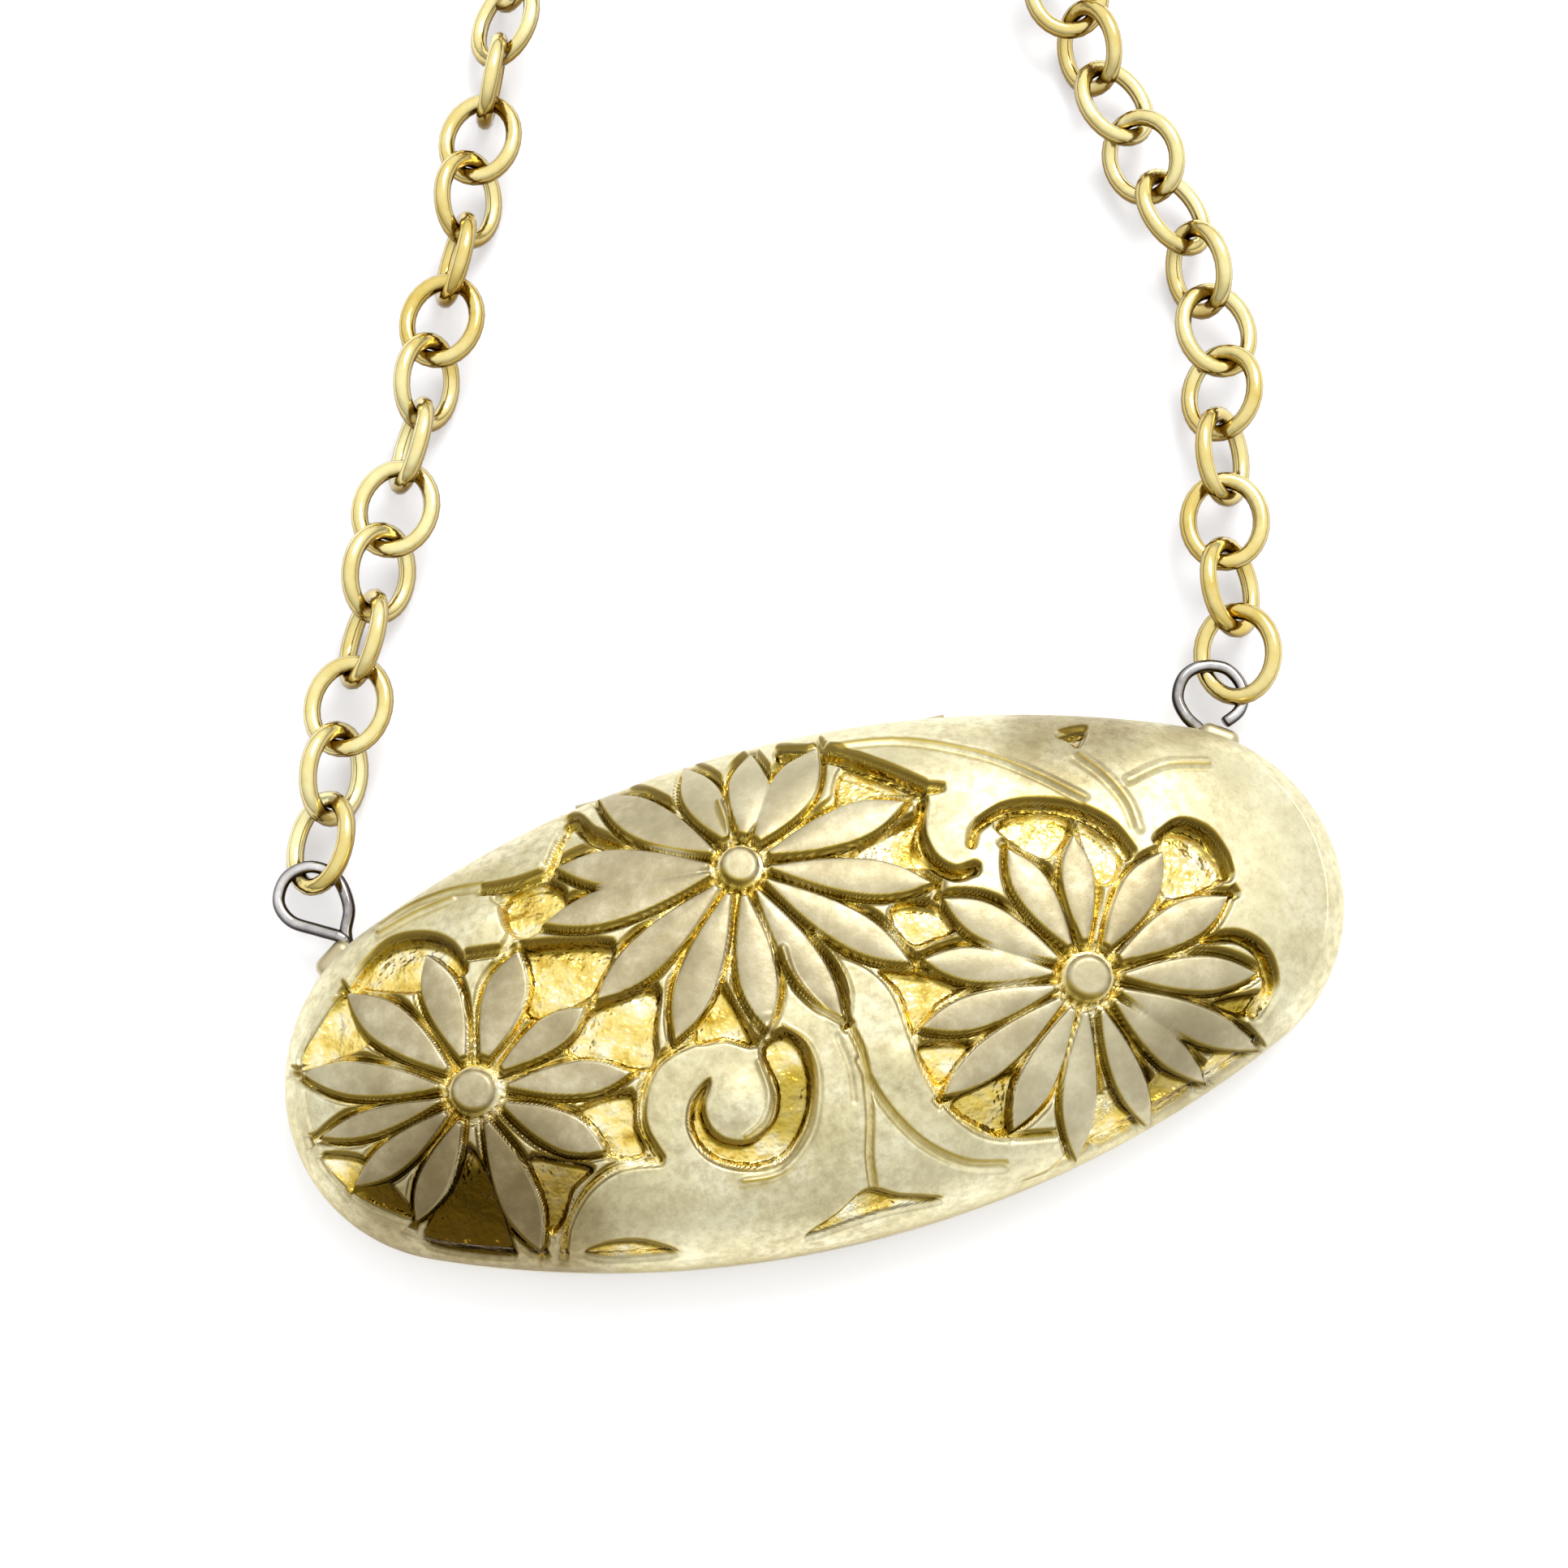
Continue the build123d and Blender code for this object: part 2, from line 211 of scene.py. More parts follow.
def cover_material():
    """Satin champagne on the raised carving, hammered polished gold in the hollows."""
    s = Shader("carved_cover", 1.0, 0.4)
    hollow = s.attribute("hollow")
    grain = s.noise(2300.0, 6.0, 0.7)
    broad = s.noise(90.0, 3.0, 0.5)
    s.color(painted_light_and_shade(s, s.mix(hollow, satin_tone(s, grain, broad), hollow_tone(s))))
    polish = s.mix(hollow, (0.44, 0.44, 0.44), (0.16, 0.16, 0.16))
    s.roughness(s.math("ADD", s.span(grain, 0.3, 0.7, -0.08, 0.08), polish))
    dents = s.math("MULTIPLY", s.math("MULTIPLY", hollow, s.noise(900.0, 3.0, 0.6)), 2.2)
    height = s.math("MULTIPLY_ADD", grain, 0.10, dents)
    s.bump(s.math("MULTIPLY_ADD", broad, 0.9, height), 0.9, 0.00020)
    return s.material


def card_material():
    """Plain matt card with a fibrous surface."""
    s = Shader("plain_card", 0.0, 0.8)
    fibres = s.noise(2500.0, 6.0, 0.7)
    s.color(s.ramp(fibres, [(0.3, (0.80, 0.77, 0.69)), (0.7, (0.90, 0.88, 0.81))]))
    s.bump(fibres, 0.4, 0.00001)
    return s.material


def window_material():
    """A thin clear sheet, slightly uneven in polish."""
    s = Shader("clear_window", 0.0, 0.05, (0.95, 0.97, 0.97))
    s.shader.inputs["Alpha"].default_value = 0.22
    s.roughness(s.span(s.noise(600.0), 0.3, 0.7, 0.03, 0.09))
    return s.material


GOLD_DARK = (0.62, 0.40, 0.10)
GOLD_LIGHT = (0.95, 0.76, 0.34)
STEEL_DARK = (0.45, 0.45, 0.46)
STEEL_LIGHT = (0.75, 0.75, 0.76)

MATERIALS = {
    "cover_gold": cover_material(),
    "case_gold": metal("satin_case", (0.50, 0.43, 0.26), (0.74, 0.67, 0.46), (0.28, 0.42)),
    "rim_gold": metal("polished_rim", GOLD_DARK, GOLD_LIGHT, (0.12, 0.24)),
    "hinge_gold": metal("hinge_metal", (0.42, 0.35, 0.19), (0.66, 0.58, 0.36), (0.3, 0.44)),
    "pin_steel": metal("pin_wire", STEEL_DARK, STEEL_LIGHT, (0.2, 0.35)),
    "frame_gold": metal("polished_frame", GOLD_DARK, GOLD_LIGHT, (0.12, 0.25)),
    "window": window_material(),
    "card": card_material(),
    "boss_gold": metal("boss_metal", (0.48, 0.41, 0.24), (0.70, 0.63, 0.42), (0.34, 0.5)),
    # painted shade darkens the sides of the eye wires
    "eye_steel": metal(
        "eye_wire",
        (0.30, 0.28, 0.27),
        (0.92, 0.90, 0.89),
        (0.08, 0.2),
        grain=1900.0,
        side=(0.02, 0.012, 0.01),
        shade_facing=(0.6, 0.98),
    ),
    # painted shade darkens the sides of the chain links
    "chain_gold": metal(
        "chain_metal",
        (0.72, 0.53, 0.13),
        (1.0, 0.93, 0.52),
        (0.09, 0.2),
        side=(0.20, 0.115, 0.008),
        shade_facing=(0.16, 0.86),
    ),
    "clasp_gold": metal("clasp_metal", (0.62, 0.46, 0.14), (0.96, 0.84, 0.44), (0.14, 0.28)),
    "spring_steel": metal("spring_wire", STEEL_DARK, STEEL_LIGHT, (0.2, 0.35)),
}


# ---- mesh helpers ----
def mesh_piece(name, points, faces, slot, body, smooth=True):
    """A mesh object from points in millimetres, riding on a body."""
    mesh = bpy.data.meshes.new(name)
    mesh.from_pydata([tuple(c * MM for c in p) for p in points], [], faces)
    mesh.polygons.foreach_set("use_smooth", [smooth] * len(mesh.polygons))
    mesh.materials.append(MATERIALS[slot])
    obj = bpy.data.objects.new(name, mesh)
    bpy.context.scene.collection.objects.link(obj)
    if body:
        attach(obj, body)
    return obj


def tube_points(line, radii, closed, sides=14):
    """Rings of points round a line, with a frame carried along it."""
    count = len(line)
    rings = []
    up = Vector((0, 0, 1))
    for i, centre in enumerate(line):
        ahead = line[(i + 1) % count] if closed or i < count - 1 else line[i]
        behind = line[i - 1] if closed or i > 0 else line[i]
        way = (Vector(ahead) - Vector(behind)).normalized()
        side = way.cross(up)
        if side.length < 1e-3:
            side = way.cross(Vector((1, 0, 0)))
        side.normalize()
        up = side.cross(way).normalized()
        for k in range(sides):
            a = 2 * math.pi * k / sides
            rings.append(Vector(centre) + radii[i] * (side * math.cos(a) + up * math.sin(a)))
    return rings


def tube_faces(count, closed, sides=14):
    """Faces between the rings of a tube, with ends on an open one."""
    faces = []
    for i in range(count if closed else count - 1):
        j = (i + 1) % count
        for k in range(sides):
            m = (k + 1) % sides
            faces.append((i * sides + k, i * sides + m, j * sides + m, j * sides + k))
    if not closed:
        faces.append(tuple(reversed(range(sides))))
        faces.append(tuple((count - 1) * sides + k for k in range(sides)))
    return faces


def smooth_line(points, steps=8, closed=False):
    """Catmull-Rom points through given points."""
    points = [Vector(p) for p in points]
    count = len(points)
    result = []
    for i in range(count if closed else count - 1):
        if closed:
            p = [points[(i + k) % count] for k in (-1, 0, 1, 2)]
        else:
            p = [points[min(max(i + k, 0), count - 1)] for k in (-1, 0, 1, 2)]
        for step in range(steps):
            t = step / steps
            a = 2 * p[1]
            b = (p[2] - p[0]) * t
            c = (2 * p[0] - 5 * p[1] + 4 * p[2] - p[3]) * t * t
            d = (3 * p[1] - p[0] - 3 * p[2] + p[3]) * t**3
            result.append((a + b + c + d) / 2)
    if not closed:
        result.append(points[-1])
    return result


# ---- the carved relief: what lies where, in millimetres ----
# Each daisy: centre, disc radius, then petals as (angle, length, half-width).
DAISIES = [
    {
        "centre": (-15.2, -0.4),
        "disc": 1.1,
        "petals": [
            (160.5, 7.5, 0.9), (183.5, 6.8, 0.68), (206, 6.4, 0.8), (234, 6.0, 0.8), (280, 7.5, 0.95),
            (321, 6.3, 0.95), (352, 6.8, 0.9), (23, 5.9, 0.85), (59, 6.3, 1.05), (96, 6.3, 0.95),
            (129, 7.0, 1.05),
        ],
    },
    {
        "centre": (-2.0, 6.2),
        "disc": 1.0,
        "petals": [
            (183, 9.0, 0.95), (167, 8.1, 1.0), (140, 7.0, 1.1), (105, 5.0, 1.0), (70, 5.0, 1.0),
            (42, 6.2, 1.1), (7, 7.8, 1.0), (340, 8.5, 1.0), (315, 8.7, 1.0), (289, 8.2, 0.9),
            (265, 7.4, 1.0), (236, 8.2, 1.0), (210, 8.6, 1.0),
        ],
    },
    {
        "centre": (11.2, -2.2),
        "disc": 1.15,
        "petals": [
            (183, 7.7, 0.9), (205, 8.2, 0.9), (228, 7.5, 0.85), (249.5, 8.0, 0.85), (275, 7.1, 0.8),
            (301, 6.8, 0.8), (321, 7.9, 0.95), (346.5, 7.3, 0.95), (15.4, 7.1, 1.0), (44, 6.5, 0.95),
            (80, 6.3, 0.85), (106.5, 6.6, 0.95), (137, 7.2, 1.0), (160, 7.3, 0.95),
        ],
    },
]

# Sunk ground between the carving, as rough outlines with a depth.
POOLS = [
    (0.75, [(-22.0, 2.4), (-20.9, 4.0), (-19.6, 5.0), (-19.0, 3.6), (-19.3, 2.5)]),
    (0.8, [(-19.1, 5.1), (-18.6, 5.9), (-17.2, 6.5), (-15.6, 6.4), (-14.7, 5.6), (-14.6, 4.6), (-16.4, 4.2)]),
    (0.75, [(-12.2, 7.3), (-10.4, 7.7), (-9.5, 6.9), (-10.0, 6.0), (-11.6, 5.4), (-12.3, 5.9)]),
    (0.9, [(-12.1, 4.7), (-11.6, 5.1), (-8.1, 4.3), (-8.8, 3.0), (-9.8, 2.1), (-12.4, 2.0)]),
    (0.9, [(-9.6, 1.8), (-6.7, 2.0), (-7.2, 0.0), (-7.4, -1.0), (-8.2, -1.4), (-11.2, 0.2)]),
    (0.8, [(-5.8, -0.6), (-4.4, 1.9), (-3.6, 0.4), (-3.3, -1.5), (-4.4, -1.0)]),
    (0.9, [(-11.2, -2.3), (-8.8, -2.1), (-8.9, -3.6), (-8.8, -4.9), (-10.3, -4.6)]),
    (0.8, [(-13.7, -3.8), (-12.2, -4.2), (-11.0, -4.9), (-12.0, -5.6), (-12.9, -7.0), (-13.6, -6.9)]),
    (1.0, [(-16.2, -2.6), (-18.4, -5.6), (-17.6, -6.7), (-15.2, -7.6), (-15.0, -7.0), (-15.4, -4.0)]),
    (0.7, [(-22.0, -1.6), (-21.0, -3.4), (-19.6, -4.6), (-18.7, -5.0), (-19.6, -3.0), (-20.5, -1.9)]),
    (0.7, [(3.3, 9.3), (4.6, 8.6), (5.9, 7.5), (4.4, 7.8), (2.6, 7.6)]),
    (0.8, [(2.6, 5.6), (6.1, 6.5), (5.6, 5.2), (6.2, 4.0), (4.0, 4.6)]),
    (0.8, [(3.6, 2.4), (4.4, 3.0), (6.0, 2.3), (6.4, 1.2), (5.2, 0.9), (4.2, 1.0)]),
    (0.8, [(2.6, 0.4), (4.5, -0.3), (6.3, -1.2), (4.8, -1.8), (3.4, -2.7), (3.2, -1.0)]),
    (0.8, [(3.4, -3.2), (5.8, -3.8), (4.0, -5.2), (3.5, -4.6)]),
    (0.9, [(4.1, -5.9), (7.6, -5.3), (6.9, -7.0), (6.0, -7.9), (5.2, -7.5)]),
    (0.8, [(9.1, 5.1), (10.3, 5.5), (11.9, 5.1), (12.4, 4.3), (11.3, 3.2), (10.5, 3.4)]),
    (0.8, [(12.6, 4.5), (13.4, 3.9), (14.1, 2.8), (13.9, 1.9), (13.2, 1.4), (12.6, 2.0)]),
    (0.9, [(15.8, 2.8), (16.9, 3.0), (17.9, 2.0), (18.1, 0.4), (15.4, 0.2)]),
    (0.8, [(15.9, -4.6), (18.0, -4.7), (17.6, -5.4), (16.9, -5.6)]),
    (0.7, [(9.0, -8.4), (9.6, -9.4), (10.9, -9.3), (11.6, -8.0), (10.4, -7.0)]),
    (0.7, [(12.2, -7.6), (12.2, -8.9), (13.8, -8.3), (14.0, -7.4), (13.2, -6.8)]),
    (0.6, [(15.0, -7.0), (14.7, -7.9), (16.6, -7.3), (16.4, -6.6)]),
    (0.55, [(-12.2, -8.1), (-11.0, -8.0), (-9.7, -8.3), (-8.5, -9.1), (-10.2, -8.9), (-11.5, -8.6)]),
    (0.65, [(-3.2, -9.8), (-1.7, -9.2), (-0.3, -8.55), (0.9, -9.1), (2.6, -9.7), (0.0, -9.6)]),
    (0.6, [(5.9, -9.9), (7.2, -9.7), (8.3, -9.2), (8.4, -9.7), (7.2, -10.0)]),
    (0.5, [(12.8, 8.4), (14.1, 8.3), (13.6, 7.6), (13.2, 8.0)]),
    # the volute's channel, from its small bead round to the thin inner end
    (0.75, [
        (-2.1, -1.2), (-1.4, -1.9), (-1.3, -3.5), (-2.0, -5.3), (-3.4, -6.5), (-5.0, -6.4), (-6.3, -5.6),
        (-6.8, -4.3), (-6.4, -3.1), (-5.5, -2.5), (-6.0, -3.5), (-6.0, -4.4), (-5.5, -5.1), (-4.5, -5.4),
        (-3.4, -4.8), (-2.9, -3.6), (-3.1, -2.3), (-3.0, -1.6),
    ]),
]

# Soft swellings: height, centre, radius.
MOUNDS = [
    (0.35, (-4.6, -3.7), 1.9),
    (0.25, (-13.6, 6.6), 2.2),
    (0.2, (7.4, 5.4), 1.7),
    (0.2, (-5.8, -7.6), 3.2),
    (0.2, (2.4, -4.0), 1.6),
]

# Cut lines: depth, width at the start, width at the end, points.
GROOVES = [
    # round the outside of the volute and along the stem
    (0.5, 0.3, 0.35, [
        (-3.2, -1.4), (-4.4, -0.7), (-6.0, -0.7), (-7.5, -1.2), (-8.4, -2.4), (-8.7, -3.8), (-8.3, -5.2),
    ]),
    (0.45, 0.35, 0.3, [(-8.3, -5.2), (-10.0, -5.0), (-11.5, -5.6), (-12.6, -6.8), (-13.1, -8.2)]),
    # the two fine cuts down the middle leaf
    (0.3, 0.2, 0.25, [(0.8, -1.8), (1.0, -3.2), (0.7, -5.4), (0.2, -7.2), (0.0, -8.7)]),
    (0.12, 0.12, 0.12, [(0.2, -2.0), (0.35, -3.4), (0.2, -4.8)]),
    (0.24, 0.2, 0.3, [(0.8, -3.2), (1.3, -5.2), (2.4, -7.2), (3.9, -8.5), (5.5, -9.0)]),
    (0.4, 0.3, 0.3, [
        (1.3, 1.4), (2.4, 0.5), (3.1, -0.8), (3.3, -2.6), (3.5, -4.6), (4.2, -6.4), (5.5, -7.7), (8.0, -8.3),
    ]),
    # hook over the left flower
    (0.75, 0.45, 0.55, [(-19.2, 5.1), (-18.4, 5.8), (-17.2, 6.4), (-15.9, 6.3), (-15.0, 5.7), (-14.6, 4.8)]),
    (0.45, 0.3, 0.3, [(-14.2, 5.2), (-13.2, 5.1), (-12.2, 5.0)]),
    (0.25, 0.15, 0.3, [(-17.6, 7.3), (-16.2, 7.8), (-14.6, 8.0), (-13.0, 7.9)]),
    (0.5, 0.3, 0.45, [(-13.0, 7.8), (-11.6, 7.7), (-10.2, 7.8)]),
    (0.35, 0.3, 0.3, [(-12.5, 7.4), (-11.9, 6.6), (-12.2, 5.6), (-13.0, 4.9)]),
    # edge of the middle flower's ground
    (0.7, 0.35, 0.55, [(-9.9, 8.1), (-9.3, 9.0), (-8.5, 9.8), (-7.9, 9.0), (-6.9, 8.3)]),
    (0.5, 0.45, 0.3, [(-6.9, 8.3), (-5.2, 7.8), (-3.6, 7.0)]),
    (0.8, 0.5, 0.6, [(0.9, 10.5), (3.0, 9.9), (4.9, 8.7), (6.4, 7.5)]),
    (0.4, 0.5, 0.2, [(6.4, 7.5), (7.3, 7.3)]),
    (0.4, 0.4, 0.3, [(3.3, 9.0), (2.6, 7.9), (0.6, 7.3)]),
    # scroll hook and arc over the right flower
    (0.7, 0.4, 0.45, [(6.3, 6.9), (5.8, 5.6), (6.0, 4.3), (6.8, 3.5), (7.7, 3.5)]),
    (0.65, 0.3, 0.6, [(7.9, 4.6), (8.4, 5.3), (10.0, 5.7), (12.2, 5.1), (13.7, 3.9), (14.3, 2.5)]),
    # the long fine lines of the upper right leaf
    (0.05, 0.16, 0.2, [(1.5, 10.3), (5.8, 9.7), (9.2, 8.25), (11.4, 6.7), (13.0, 5.2)]),
    (0.05, 0.2, 0.16, [(13.2, 7.1), (14.1, 6.0), (14.7, 4.7), (14.8, 3.6)]),
    # right end
    (0.75, 0.4, 0.55, [(15.8, 2.8), (16.8, 3.1), (17.7, 2.5), (18.1, 1.4), (18.1, 0.6)]),
    (0.7, 0.3, 0.6, [(16.4, -1.9), (17.8, -2.2), (18.6, -3.2), (18.5, -4.6), (17.6, -5.5)]),
]

# Patches of darkened ground: amount, centre x, centre y, radius.
DARKENED_GROUND = [
    (1.2, -16.2, -5.9, 3.4),
    (1.0, -19.2, -4.0, 2.6),
    (0.35, -12.6, -5.6, 2.0),
    (0.45, 12.6, -8.0, 2.4),
    (0.3, 5.6, -6.6, 2.2),
    (0.5, 16.6, -5.6, 1.6),
    (0.55, -2.2, -4.4, 2.2),
]

# Patches of painted shade, where the whole surface is darkened: amount, centre x, centre y, radius.
SHADE_PATCHES = [
    (1.0, -16.4, -6.8, 7.6),
    (0.5, 15.5, -7.5, 4.5),
    (0.7, 13.4, 8.4, 4.0),
    (0.4, 18.2, 3.4, 2.6),
]

# Raised rounded lines: height, half-width, points.
RIDGES = [
    (0.22, 0.14, [(-1.1, 2.2), (-1.0, 1.0), (-0.4, -0.4), (0.5, -1.5), (1.1, -0.6), (1.1, 0.6), (0.4, 2.4)]),
    (0.25, 0.5, [(-2.7, -1.0), (-2.5, -1.0)]),
    (0.12, 0.12, [(-1.9, -1.1), (-1.1, -2.0), (-1.0, -3.6), (-1.8, -5.6), (-3.4, -6.85), (-5.1, -6.8)]),
    (0.10, 0.10, [(-3.3, -2.2), (-3.2, -3.6), (-3.7, -4.6), (-4.6, -5.1)]),
    (0.18, 0.13, [(-2.2, 9.1), (-2.1, 8.2), (-2.0, 7.6)]),
    (0.12, 0.14, [(-17.6, 7.1), (-15.8, 7.6), (-14.2, 7.8)]),
    (0.05, 0.17, [(1.5, 10.5), (5.8, 9.95), (9.2, 8.5), (11.4, 6.95), (13.2, 5.35)]),
    (0.05, 0.17, [(13.5, 7.3), (14.4, 6.1), (15.0, 4.7), (15.1, 3.4)]),
    (0.10, 0.2, [(15.2, 5.6), (17.0, 5.9), (18.8, 5.5)]),
]


PETAL_GROUND = 0.62  # how deep the ground lies round the petals
DISC_GROOVE = 0.5
LOWER_LEFT = (-0.12, -0.16)  # short steps along the surface, to tell which way a wall faces
UPPER_RIGHT = (0.18, 0.24)
COVER_GRID = (893, 439)


def edge_distance(x, y):
    """How far from the centre to the outline, in the direction of each point."""
    length = np.maximum(np.hypot(x, y), 1e-9)
    c, s = np.abs(x) / length, np.abs(y) / length
    end = END_X * c + np.sqrt(np.maximum(END_RADIUS**2 - (END_X * s) ** 2, 0))
    side = -SIDE_Y * s + np.sqrt(SIDE_RADIUS**2 - (SIDE_Y * c) ** 2)
    use_end = (END_RADIUS**2 > (END_X * s) ** 2) & (end * c > JOIN_X)
    return np.where(use_end, end, side)


def line_field(x, y, points, steps=6):
    """Distance to a smooth line and how far along it the nearest point is, 0 to 1."""
    line = smooth_line([(a, b, 0) for a, b in points], steps)
    best = np.full(x.shape, 1e9)
    along = np.zeros(x.shape)
    count = len(line) - 1
    for i in range(count):
        ax, ay = line[i].x, line[i].y
        bx, by = line[i + 1].x - ax, line[i + 1].y - ay
        t = np.clip(((x - ax) * bx + (y - ay) * by) / max(bx * bx + by * by, 1e-12), 0, 1)
        d = np.hypot(x - ax - t * bx, y - ay - t * by)
        near = d < best
        best = np.where(near, d, best)
        along = np.where(near, (i + t) / count, along)
    return best, along


def pool_field(x, y, outline):
    """Signed distance into a rounded outline: positive inside."""
    line = smooth_line([(a, b, 0) for a, b in outline], 4, closed=True)
    inside = np.zeros(x.shape, bool)
    best = np.full(x.shape, 1e9)
    for i in range(len(line)):
        a, b = line[i - 1], line[i]
        crosses = (a.y > y) != (b.y > y)
        rise = b.y - a.y if abs(b.y - a.y) > 1e-12 else 1e-12
        inside ^= crosses & (x < (b.x - a.x) * (y - a.y) / rise + a.x)
        bx, by = b.x - a.x, b.y - a.y
        t = np.clip(((x - a.x) * bx + (y - a.y) * by) / max(bx * bx + by * by, 1e-12), 0, 1)
        best = np.minimum(best, np.hypot(x - a.x - t * bx, y - a.y - t * by))
    return np.where(inside, best, -best)


def ease(t):
    """A soft step from 0 to 1."""
    t = np.clip(t, 0, 1)
    return t * t * (3 - 2 * t)


def petal_field(x, y, daisy, angle, length, width):
    """How far inside a petal each point is, and how far out from its crown, 0 to 1."""
    a = math.radians(angle)
    dx, dy = x - daisy["centre"][0], y - daisy["centre"][1]
    along = dx * math.cos(a) + dy * math.sin(a)
    across = np.abs(-dx * math.sin(a) + dy * math.cos(a))
    base = daisy["disc"] + 0.1
    t = (along - base) / (length - base)
    rising = 0.15 + 0.85 * np.sin(math.pi / 2 * np.clip(t / 0.6, 0, 1))
    falling = 1 - np.clip((t - 0.6) / 0.4, 0, 1) ** 2
    half = 0.93 * width * np.where(t < 0.6, rising, falling)
    gap = np.minimum(half - across, (1 - t) * length * 0.6)
    gap = np.minimum(gap, t * length * 0.6 + 0.2)
    return gap, np.clip(across / np.maximum(half, 0.05), 0, 1)


def sunk_ground(x, y):
    """Depth of the pools, cut lines and swellings at each point."""
    depth = np.zeros(x.shape)
    for amount, outline in POOLS:
        inside = pool_field(x, y, outline)
        depth = np.maximum(depth, amount * ease(inside / 0.34 + 0.4))
    for amount, start, end, points in GROOVES:
        distance, along = line_field(x, y, points)
        half = (start + (end - start) * along) / 2 + 0.06
        depth = np.maximum(depth, amount * ease(1.25 * (1 - distance / (half * 1.35))))
    for height, centre, radius in MOUNDS:
        r = np.hypot(x - centre[0], y - centre[1]) / radius
        depth = depth - height * (1 - ease(r))
    return depth


def lay_petals(x, y, daisy, depth):
    """The depth with a daisy's petals on it, each crowned along its middle, and where they are."""
    petals = [petal_field(x, y, daisy, *p) for p in daisy["petals"]]
    near = np.max([gap for gap, across in petals], axis=0)
    ground = np.maximum(depth, PETAL_GROUND * ease(1 + (near + 0.04) / 0.3))
    none = 9.0
    top = np.full(x.shape, none)
    for gap, across in petals:
        top = np.where(gap > -0.05, np.minimum(top, 0.04 + 0.11 * across**2), top)
    top = np.where(top == none, 0.15, top)
    share = ease((near + 0.05) / 0.14)
    return np.where(near > -0.40, top * share + ground * (1 - share), depth), share


def lay_disc(x, y, daisy, depth):
    """The depth with a daisy's domed disc and the groove round it, and how far out each point is."""
    r = np.hypot(x - daisy["centre"][0], y - daisy["centre"][1]) / daisy["disc"]
    groove = DISC_GROOVE * ease(1 - np.abs(r - 1.16) / 0.26)
    depth = np.where(r < 1.45, np.maximum(depth, groove), depth)
    return np.where(r < 1.05, DISC_GROOVE * ease((r - 0.62) / 0.5), depth), r


def carve(x, y):
    """Depth of the carving below the smooth dome at each point, and where the petals are."""
    depth = sunk_ground(x, y)
    petal = np.zeros(x.shape)
    for daisy in DAISIES:
        depth, share = lay_petals(x, y, daisy, depth)
        depth, r = lay_disc(x, y, daisy, depth)
        petal = np.maximum(np.maximum(petal, share), 0.7 * (r < 1))
    for height, half, points in RIDGES:
        distance, _ = line_field(x, y, points)
        depth = depth - (height + 0.1) * ease(1.2 * (1 - distance / (half * 1.6)))
    return depth, petal


def dome_points(nx, ny):
    """A grid folded onto the oval, close-packed towards the steep edge."""
    u, v = np.meshgrid(np.linspace(-1, 1, nx), np.linspace(-1, 1, ny))
    p = u * np.sqrt(1 - v * v / 2)
    q = v * np.sqrt(1 - u * u / 2)
    spread = np.minimum(np.hypot(p, q), 1)
    angle = np.arctan2(q * HALF_WIDTH, p * HALF_LENGTH)
    rho = 0.35 * spread + 0.65 * np.sin(spread * math.pi / 2)
    reach = edge_distance(np.cos(angle), np.sin(angle))
    return rho * reach * np.cos(angle), rho * reach * np.sin(angle), rho


def dome_height(rho):
    """Height of the smooth dome, from how far out towards the outline a point is, 0 to 1."""
    return CASE_HEIGHT + DOME_HEIGHT * np.sqrt(np.maximum(1 - np.clip(rho, 0, 1) ** 2.3, 0))


def blur(values, times):
    """Values of a grid evened out with their neighbours, over and over."""
    for _ in range(times):
        padded = np.pad(values, 1, mode="edge")
        around = padded[:-2, 1:-1] + padded[2:, 1:-1] + padded[1:-1, :-2] + padded[1:-1, 2:]
        values = (values * 4 + around) / 8
    return values


def laid_out(x, y, z):
    """Where points of the dome fall on the parting plane, on which the carving is drawn."""
    eye_x, eye_y, eye_z = DRAWN_FROM
    throw = (eye_z - CASE_HEIGHT) / (eye_z - z)
    flat_x = (eye_x + (x - eye_x) * throw) * LAYOUT_SCALE
    flat_y = (eye_y + (y - eye_y) * throw) * LAYOUT_SCALE + LAYOUT_LIFT
    return flat_x, flat_y


def dome_at(x, y):
    return dome_height(np.hypot(x, y) / edge_distance(x, y))


def sink(x, y, z, depth):
    """Points of the dome moved in by a depth, along its slope."""
    step = 0.02
    here = dome_at(x, y)
    slope_x = (dome_at(x + step, y) - here) / step
    slope_y = (dome_at(x, y + step) - here) / step
    size = np.sqrt(slope_x**2 + slope_y**2 + 1)
    inward = 0.6 * depth / size
    return x + slope_x * inward, y + slope_y * inward, z - depth / size


def clear_of_recess(px, py, pz, depth):
    """Heights eased up where the carving would break into the recess inside the cover."""
    reach = edge_distance(px, py)
    inset = (1 - np.hypot(px, py) / reach) * reach
    lowest = CASE_HEIGHT + (RECESS_TOP + 0.15 - CASE_HEIGHT) * ease((inset - 0.7) / 0.4)
    eased = (pz + lowest + np.sqrt((pz - lowest) ** 2 + 0.12)) / 2
    return np.maximum(pz + (eased - pz) * ease(depth / 0.3), lowest)


def finish_edge(px, py, pz):
    """The skin drawn in a little at the parting line and cut away over the hinge."""
    seam = 1 - ease((pz - CASE_HEIGHT) / 0.16)
    px = px * (1 - 0.006 * seam)
    py = py * (1 - 0.010 * seam)
    notch = (np.abs(px) < NOTCH_HALF) & (py > NOTCH_Y)
    return px, py, np.where(notch, np.maximum(pz, NOTCH_TOP), pz)


